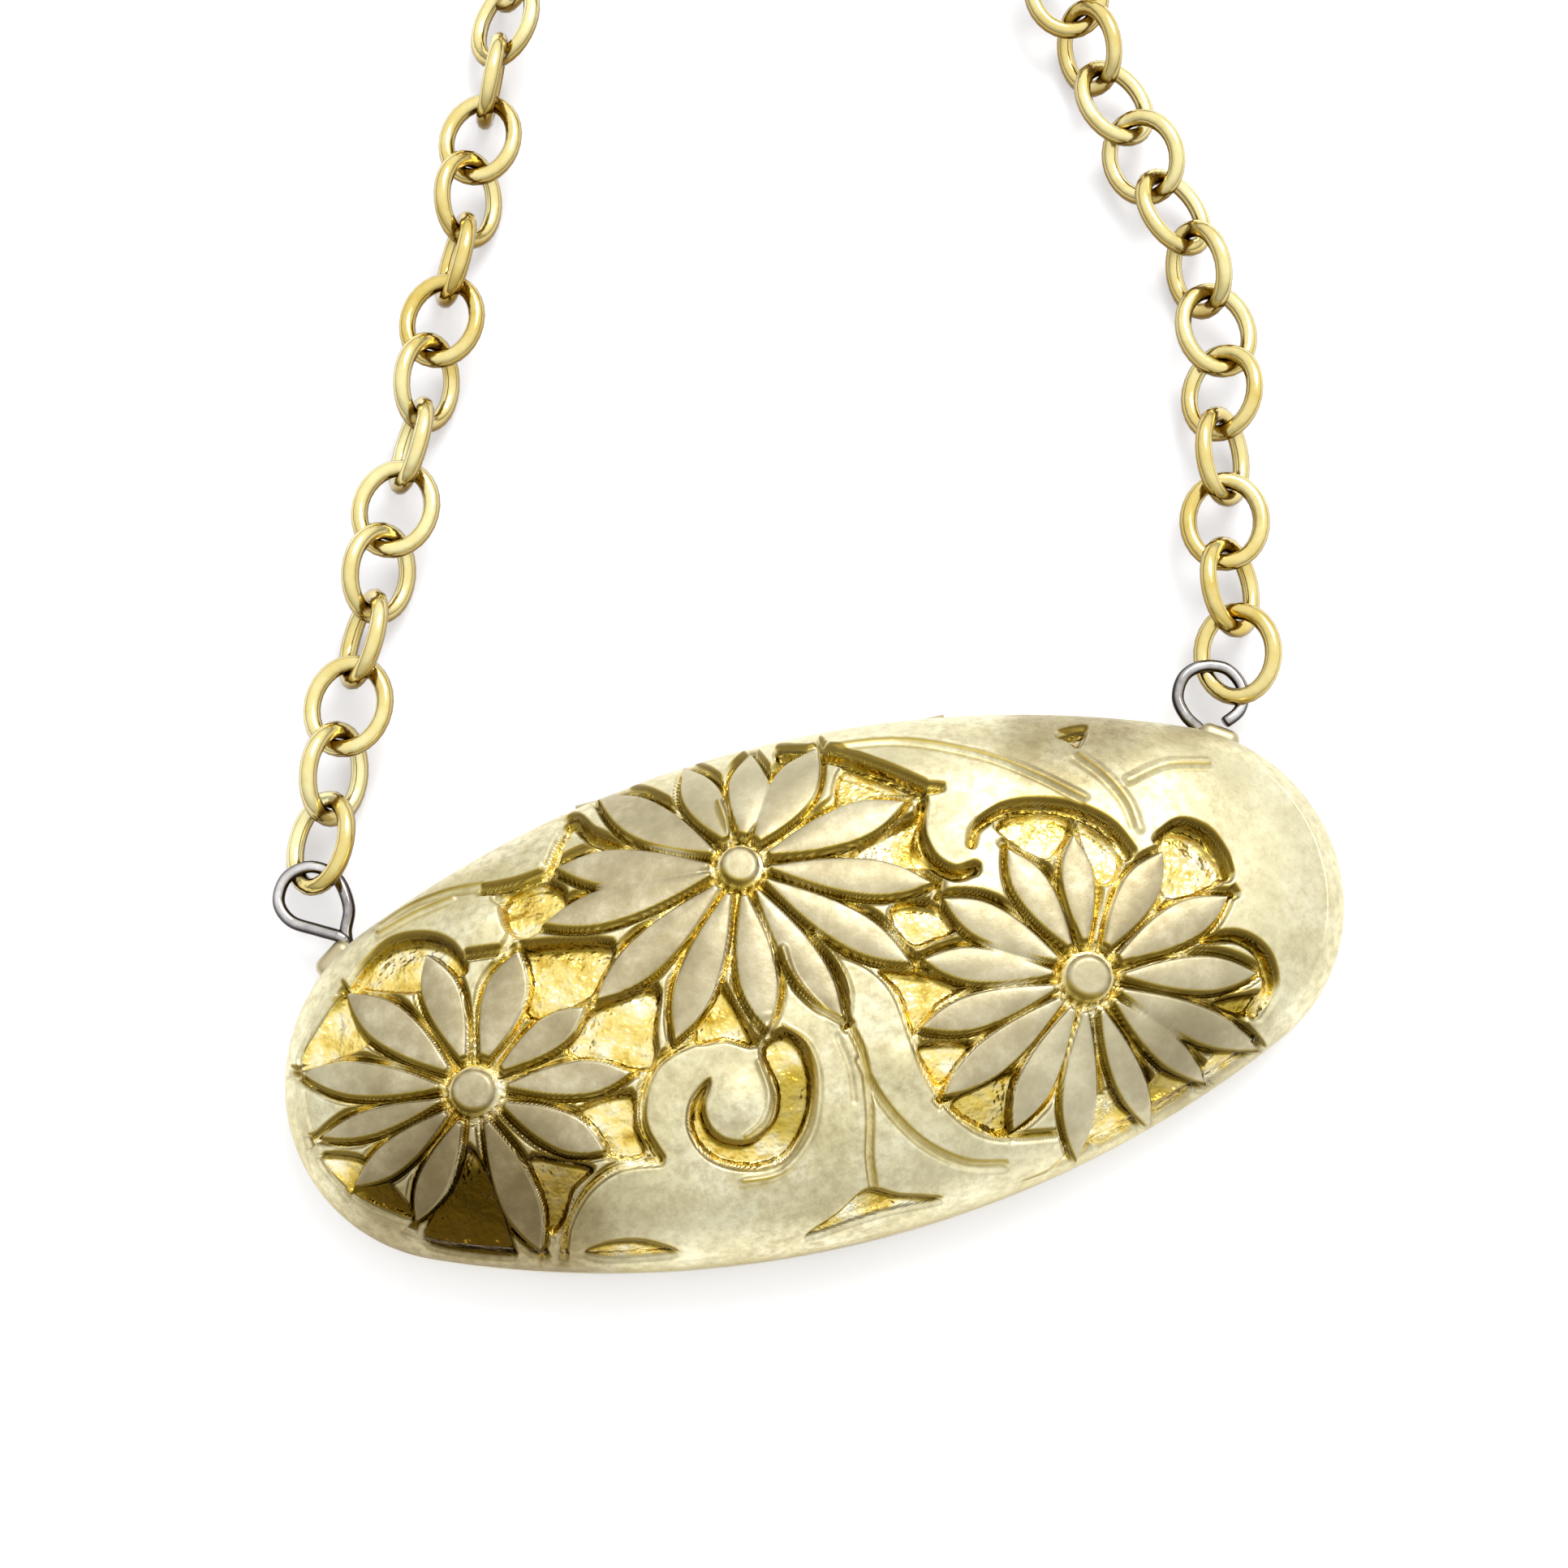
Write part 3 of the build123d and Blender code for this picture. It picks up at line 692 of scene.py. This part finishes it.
def carve_dome(x, y, z):
    """The carved skin's points, and the shading values that go with them."""
    flat_x, flat_y = laid_out(x, y, z)
    fade = ease((z - CASE_HEIGHT - 0.35) / 1.5)
    depth, petal = carve(flat_x, flat_y)
    depth = blur(depth, 1) * fade
    towards = carve(flat_x + LOWER_LEFT[0], flat_y + LOWER_LEFT[1])[0] * fade
    above = carve(flat_x + UPPER_RIGHT[0], flat_y + UPPER_RIGHT[1])[0] * fade
    px, py, pz = sink(x, y, z, depth)
    pz = clear_of_recess(px, py, pz, depth)
    px, py, pz = finish_edge(px, py, pz)
    # painted shade, from the carving's depth here and a short step towards the lower left and upper right
    painted_shade = crevice_field(depth, towards, above, patch_field(flat_x, flat_y, DARKENED_GROUND))
    # painted shade on the dome's steep foot towards the lower left, fading out above the parting line
    low = np.clip(-(0.5 * x / HALF_LENGTH + 0.95 * y / HALF_WIDTH), 0, 1)
    painted_shade = np.maximum(painted_shade, 0.5 * low * (1 - ease((pz - CASE_HEIGHT - 0.1) / 1.3)))
    values = {
        "hollow": ease((depth - 0.2) / 0.22),
        "painted_shade": painted_shade,
        "petal": petal,
        # painted highlight on raised edges that stand above the ground around them
        "rim": ease((blur(depth, 14) - depth - 0.06) / 0.12) * (1 - painted_shade),
        "patch_shade": patch_field(flat_x, flat_y, SHADE_PATCHES),
    }
    return (px, py, pz), values


def build_cover():
    """The carved skin of the cover, as four pieces that share one grid."""
    nx, ny = COVER_GRID
    x, y, rho = dome_points(nx, ny)
    skin, values = carve_dome(x, y, dome_height(rho))
    normals = surface_normals(*skin)
    points = np.stack(skin, -1)
    middle_x, middle_y = nx // 2, ny // 2
    quarters = {
        "lower_left": (slice(0, middle_y + 1), slice(0, middle_x + 1)),
        "lower_right": (slice(0, middle_y + 1), slice(middle_x, nx)),
        "upper_left": (slice(middle_y, ny), slice(0, middle_x + 1)),
        "upper_right": (slice(middle_y, ny), slice(middle_x, nx)),
    }
    return [grid_piece("carved_cover_" + n, points[q], normals[q], values, q) for n, q in quarters.items()]


def grid_piece(name, points, normals, values, part):
    """One quarter of the cover's skin as a mesh, with its shading values on its points."""
    index = np.arange(points.shape[0] * points.shape[1]).reshape(points.shape[:2])
    faces = np.stack([index[:-1, :-1], index[:-1, 1:], index[1:, 1:], index[1:, :-1]], -1)
    corners = points.reshape(-1, 3).tolist()
    piece = mesh_piece(name, corners, faces.reshape(-1, 4).tolist(), "cover_gold", "cover")
    for label, field in values.items():
        attribute = piece.data.attributes.new(label, "FLOAT", "POINT")
        attribute.data.foreach_set("value", field[part].reshape(-1).astype(np.float32))
    piece.data.normals_split_custom_set_from_vertices(normals.reshape(-1, 3).tolist())
    return piece


def surface_normals(px, py, pz):
    """Upward normals of a grid of points, so that the cover's four pieces shade as one."""
    points = np.stack([px, py, pz], -1)
    along = np.gradient(points, axis=1)
    across = np.gradient(points, axis=0)
    normals = np.cross(along, across)
    length = np.linalg.norm(normals, axis=-1, keepdims=True)
    return normals / np.maximum(length, 1e-12)


def crevice_field(depth, towards, above, darkened_ground):
    """Painted shade and shadow: dark in the low corners, on and under the walls that face the lower left, and
    on the listed patches of darkened ground.
    """
    corners = 0.55 * ease((depth - blur(depth, 44) - 0.06) / 0.3)
    walls = 0.9 * ease((towards - depth - 0.04) / 0.24)
    under = 0.9 * ease((depth - above - 0.08) / 0.34)
    dark = np.maximum(np.maximum(corners, walls), under)
    return np.clip(dark + darkened_ground * ease((depth - 0.25) / 0.2), 0, 1)


def patch_field(x, y, patches):
    """How strongly each point is covered by soft round patches."""
    result = np.zeros(x.shape)
    for amount, cx, cy, radius in patches:
        r = np.hypot(x - cx, y - cy) / radius
        result = np.maximum(result, amount * (1 - ease((r - 0.5) / 0.5)))
    return result


def outline_points(inset, count):
    """Points round the outline, moved in square to it by an inset."""
    angles = [2 * math.pi * k / count for k in range(count)]
    stretch_x, stretch_y = np.cos(angles) * HALF_LENGTH, np.sin(angles) * HALF_WIDTH
    reach = edge_distance(stretch_x, stretch_y) / np.hypot(stretch_x, stretch_y)
    x, y = stretch_x * reach, stretch_y * reach
    end = np.abs(x) > JOIN_X
    centre_x = np.where(end, np.sign(x) * END_X, 0)
    centre_y = np.where(end, 0, -np.sign(y) * SIDE_Y)
    away = np.hypot(x - centre_x, y - centre_y)
    return x - inset * (x - centre_x) / away, y - inset * (y - centre_y) / away


# The inside of the cover, as insets from the outline with their heights.
LINING_PROFILE = [(0.09, 2.4), (1.2, 2.4), (1.3, 2.5), (1.3, 4.0), (1.35, RECESS_TOP)]


def build_lining():
    """The cover's lower edge, inner wall and flat top, swept round the outline."""
    count = 360
    points = []
    for inset, height in LINING_PROFILE:
        x, y = outline_points(inset, count)
        over_hinge = (np.abs(x) < NOTCH_HALF) & (y > NOTCH_Y)
        z = np.where(over_hinge, max(height, NOTCH_TOP), height)
        points += list(zip(x.tolist(), y.tolist(), z.tolist()))
    faces = []
    for i in range(len(LINING_PROFILE) - 1):
        for k in range(count):
            m = (k + 1) % count
            faces.append((i * count + k, i * count + m, (i + 1) * count + m, (i + 1) * count + k))
    faces.append(tuple((len(LINING_PROFILE) - 1) * count + k for k in range(count)))
    return mesh_piece("cover_lining", points, faces, "rim_gold", "cover", smooth=False)


for quarter in build_cover():
    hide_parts("front_cover")
build_lining()

for name, node in nodes.items():
    slot = next(s["material_slot"] for s in frame["record"]["subparts"] if s["node"] == name)
    node.data.materials.clear()
    node.data.materials.append(MATERIALS[slot])


# ---- chains ----
def coil_points(start_angle, start_radius, end_radius, turns, z, per_turn=16):
    """Points of a flat clockwise spiral, in millimetres."""
    count = int(round(per_turn * turns))
    points = []
    for k in range(1, count + 1):
        share = k / count
        angle = math.radians(start_angle - 360 * turns * share)
        radius = start_radius + (end_radius - start_radius) * share
        x, y = COIL_CENTRE
        points.append((x + radius * math.cos(angle), y + radius * math.sin(angle), z))
    return points


COIL_CENTRE = (27.0, 80.3)
LEFT_ROUTE = [
    (-19.4, 10.5, 2.0),
    (-16.4, 17.9, 2.0),
    (-11.9, 27.3, 2.0),
    (-7.7, 36.3, 2.0),
    (-4.4, 44.3, 2.0),
    (-0.8, 52.3, 2.0),
    (1.5, 61.9, 2.0),
    (3.7, 72.8, 2.0),
    (5.21, 83.36, 2.0),
]
RIGHT_ROUTE = [
    (21.3, 9.3, 2.0),
    (22.2, 14.1, 2.0),
    (23.6, 19.2, 2.0),
    (25.2, 24.4, 2.0),
    (25.0, 30.4, 2.0),
    (23.7, 36.4, 2.0),
    (23.1, 44.6, 2.0),
    (21.9, 53.6, 6.0),
    (16.33, 61.06, 6.0),
]


def route_line(name, route):
    """The smooth line of a chain, read back from its NURBS spline as points in millimetres."""
    curve = bpy.data.curves.new(name, "CURVE")
    curve.dimensions = "3D"
    spline = curve.splines.new("NURBS")
    spline.points.add(len(route) - 1)
    for point, place in zip(spline.points, route):
        point.co = (*[c * MM for c in place], 1)
    spline.order_u = 3
    spline.use_endpoint_u = True
    spline.resolution_u = 24
    obj = bpy.data.objects.new(name, curve)
    bpy.context.scene.collection.objects.link(obj)
    bpy.context.view_layer.update()
    mesh = bpy.data.meshes.new_from_object(obj)
    line = [v.co / MM for v in mesh.vertices]
    bpy.data.meshes.remove(mesh)
    bpy.data.objects.remove(obj)
    return line


def line_length(line):
    """Length along a line of points."""
    return sum((b - a).length for a, b in zip(line, line[1:]))


def walk(line, spacing, first, last):
    """Places and directions every so far along a line, from first to last."""
    places = []
    travelled, target = 0.0, first
    for a, b in zip(line, line[1:]):
        step = (b - a).length
        while step > 0 and travelled + step >= target and target <= last:
            places.append((a.lerp(b, (target - travelled) / step), (b - a).normalized()))
            target += spacing
        travelled += step
    return places


# One link: half its length and width along the middle of its wire, and the wire's radius.
LINK_LONG = 1.94
LINK_WIDE = 1.6
LINK_WIRE = 0.385
LINK_PITCH = 3.08
LINK_STEPS = 28
LINK_SIDES = 10
# The rings that the two halves end in.
RING_RADIUS = 1.65
RING_WIRE = 0.35
CLASP_RING = (11.56, 84.86, 1.75)
END_RING = (10.41, 85.53, 8.35)
# How far each link is rolled over about the chain, from the locket outwards, in degrees.
LEFT_ROLLS = [38, -60, 4, 58, -52, 2, 64, -58, 6, 66, -52, 8, 80, 34]
RIGHT_ROLLS = [28, -44, 10, -48, 36, -14, 62, -30, 38, -22, 60, 10]
LAST_ROLL = 62
ROLL_STEP = 60


def link_ring():
    """One link: a slightly oval ring of wire lying in its own XY plane, long way along X."""
    line = []
    for k in range(LINK_STEPS):
        a = 2 * math.pi * k / LINK_STEPS
        line.append((LINK_LONG * math.cos(a), LINK_WIDE * math.sin(a), 0))
    points = tube_points(line, [LINK_WIRE] * LINK_STEPS, True, LINK_SIDES)
    return points, tube_faces(LINK_STEPS, True, LINK_SIDES)


def link_roll(index, count, rolls, rng):
    """A link's roll in radians: listed near the locket, then by a rule with a little chance in it."""
    if index < len(rolls):
        return math.radians(rolls[index])
    if index == count - 1:
        return math.radians(LAST_ROLL)
    return math.radians(ROLL_STEP * (index % 3 - 1) + float(rng.uniform(-9, 9)))


def build_links(name, line, ring_centre, first, rolls, seed):
    """Links along a line, the last of them standing in the ring at its end."""
    rng = np.random.default_rng(seed)
    ring, ring_faces = link_ring()
    whole_line = line + [Vector(ring_centre)]
    reach = RING_RADIUS + LINK_LONG - LINK_WIRE - RING_WIRE
    span = line_length(whole_line) - reach - first
    spacing = span / round(span / LINK_PITCH)
    places = walk(whole_line, spacing, first, span + first + 0.01)
    points, faces = [], []
    for index, (place, way) in enumerate(places):
        side = way.cross(Vector((0, 0, 1))).normalized()
        up = side.cross(way)
        roll = link_roll(index, len(places), rolls, rng)
        across = side * math.cos(roll) + up * math.sin(roll)
        normal = way.cross(across)
        start = len(points)
        points += [place + way * p.x + across * p.y + normal * p.z for p in ring]
        faces += [tuple(start + i for i in f) for f in ring_faces]
    return mesh_piece(name, [tuple(p) for p in points], faces, "chain_gold", "case")


left_coil = coil_points(172.0, 22.0, 18.0, 1.0, 2.0)
right_coil = coil_points(241.0, 22.0, 17.2, 1.2, 6.0)
left_line = route_line("left_route", LEFT_ROUTE + left_coil)
right_line = route_line("right_route", RIGHT_ROUTE + right_coil)
left_links = build_links("left_links", left_line, CLASP_RING, 0.9, LEFT_ROLLS, 11)
right_links = build_links("right_links", right_line, END_RING, 0.4, RIGHT_ROLLS, 12)
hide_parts("left_chain", "left_chain_coil")
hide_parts("right_chain", "right_chain_coil")


# ---- wire eyes ----
EYE_WIRE = 0.27
EYE_TAPER = 0.9
EYE_SIDES = 12


def wire_eye(name, points):
    """A bent wire along given points, slightly tapered at its two cut ends."""
    line = smooth_line(points, 6)
    radii = [EYE_WIRE] * len(line)
    radii[0] = radii[-1] = EYE_WIRE * EYE_TAPER
    mesh = tube_points(line, radii, False, EYE_SIDES)
    faces = tube_faces(len(line), False, EYE_SIDES)
    return mesh_piece(name, [tuple(p) for p in mesh], faces, "eye_steel", "case")


left_eye = wire_eye(
    "left_eye_wire",
    [
        (-18.9, 6.7, 1.5), (-18.85, 7.4, 1.65), (-18.5, 8.4, 1.7), (-18.75, 9.75, 1.7), (-19.7, 10.5, 1.7),
        (-20.8, 10.3, 1.7), (-21.35, 9.35, 1.7), (-21.0, 8.4, 1.7), (-20.0, 7.75, 1.7), (-19.1, 7.2, 1.75),
        (-18.9, 6.8, 1.6),
    ],
)
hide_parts("left_eye")
right_eye = wire_eye(
    "right_eye_wire",
    [
        (18.9, 6.9, 1.6), (18.45, 7.6, 1.7), (18.35, 8.5, 1.7), (18.9, 9.35, 1.7), (19.8, 9.6, 1.7),
        (20.8, 9.2, 1.7), (21.2, 8.2, 1.7), (20.8, 7.3, 1.7), (20.0, 6.9, 1.7),
    ],
)
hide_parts("right_eye")

# ---- floor, light and camera ----
FLOOR_HALF = 3000
FLOOR_Z = -0.03  # just under the object, so that the two don't share a plane


def build_floor():
    """A plain pale floor, faintly lit from within so that it stays near white."""
    corners = [(x * FLOOR_HALF, y * FLOOR_HALF, FLOOR_Z) for x, y in ((-1, -1), (1, -1), (1, 1), (-1, 1))]
    floor = mesh_piece("floor", corners, [(0, 1, 2, 3)], "card", None)
    s = Shader("pale_floor", 0.0, 0.9)
    s.color(s.ramp(s.noise(300.0, 2.0), [(0.0, (0.93, 0.93, 0.955)), (1.0, (0.95, 0.95, 0.965))]))
    s.shader.inputs["Emission Color"].default_value = (1, 1, 1, 1)
    s.shader.inputs["Emission Strength"].default_value = 0.2
    floor.data.materials.clear()
    floor.data.materials.append(s.material)
    return floor


build_floor()


def area_light(name, place, target, size, energy):
    """A rectangular light at a place in millimetres, turned to a target."""
    data = bpy.data.lights.new(name, "AREA")
    data.shape = "RECTANGLE"
    data.size, data.size_y = size
    data.energy = energy
    obj = bpy.data.objects.new(name, data)
    obj.location = Vector(place) * MM
    obj.rotation_euler = (Vector(target) - Vector(place)).to_track_quat("-Z", "Y").to_euler()
    bpy.context.scene.collection.objects.link(obj)


area_light("key", (170, 210, 330), (0, 5, 0), (0.22, 0.18), 0.65)


def studio_world():
    """A white ceiling, brightest over the upper right, above a dim band round the horizon."""
    world = bpy.data.worlds.new("studio")
    world.use_nodes = True
    tree = world.node_tree
    place = tree.nodes.new("ShaderNodeTexCoord").outputs["Generated"]
    across = tree.nodes.new("ShaderNodeVectorMath")
    across.operation = "DOT_PRODUCT"
    across.inputs[1].default_value = (0.34, 0.42, 0.84)
    tree.links.new(place, across.inputs[0])
    ramp = tree.nodes.new("ShaderNodeValToRGB")
    elements = ramp.color_ramp.elements
    while len(elements) < 4:
        elements.new(0.5)
    for element, (position, grey) in zip(elements, [(0.0, 0.74), (0.40, 1.00), (0.74, 1.12), (1.0, 1.20)]):
        element.position = position
        element.color = (grey, grey, grey, 1)
    tree.links.new(across.outputs["Value"], ramp.inputs["Fac"])
    height = tree.nodes.new("ShaderNodeSeparateXYZ")
    tree.links.new(place, height.inputs["Vector"])
    horizon = tree.nodes.new("ShaderNodeMapRange")
    for key, number in zip(("From Min", "From Max", "To Min", "To Max"), (0.02, 0.28, 0.34, 1.0)):
        horizon.inputs[key].default_value = number
    tree.links.new(height.outputs["Z"], horizon.inputs["Value"])
    tree.links.new(ramp.outputs["Color"], tree.nodes["Background"].inputs["Color"])
    tree.links.new(horizon.outputs["Result"], tree.nodes["Background"].inputs["Strength"])
    return world


bpy.context.scene.world = studio_world()
bpy.context.scene.view_settings.view_transform = "Standard"

CAMERA_TURN = math.radians(14.4)
CAMERA_LEAN = math.radians(14)


def build_camera():
    """Looking down with a slight lean, turned so that the oval rises to the right."""
    data = bpy.data.cameras.new("camera")
    data.lens = 50.8
    data.sensor_width = 36
    data.clip_start = 0.005
    camera = bpy.data.objects.new("camera", data)
    right = Vector((math.cos(CAMERA_TURN), -math.sin(CAMERA_TURN), 0))
    ahead = Vector((math.sin(CAMERA_TURN), math.cos(CAMERA_TURN), 0))
    forward = ahead * math.sin(CAMERA_LEAN) - Vector((0, 0, 1)) * math.cos(CAMERA_LEAN)
    up = ahead * math.cos(CAMERA_LEAN) + Vector((0, 0, 1)) * math.sin(CAMERA_LEAN)
    turn = Matrix((right, up, -forward)).transposed()
    camera.matrix_world = Matrix.Translation(Vector(DRAWN_FROM) * MM) @ turn.to_4x4()
    bpy.context.scene.collection.objects.link(camera)
    return camera


bpy.context.scene.camera = build_camera()
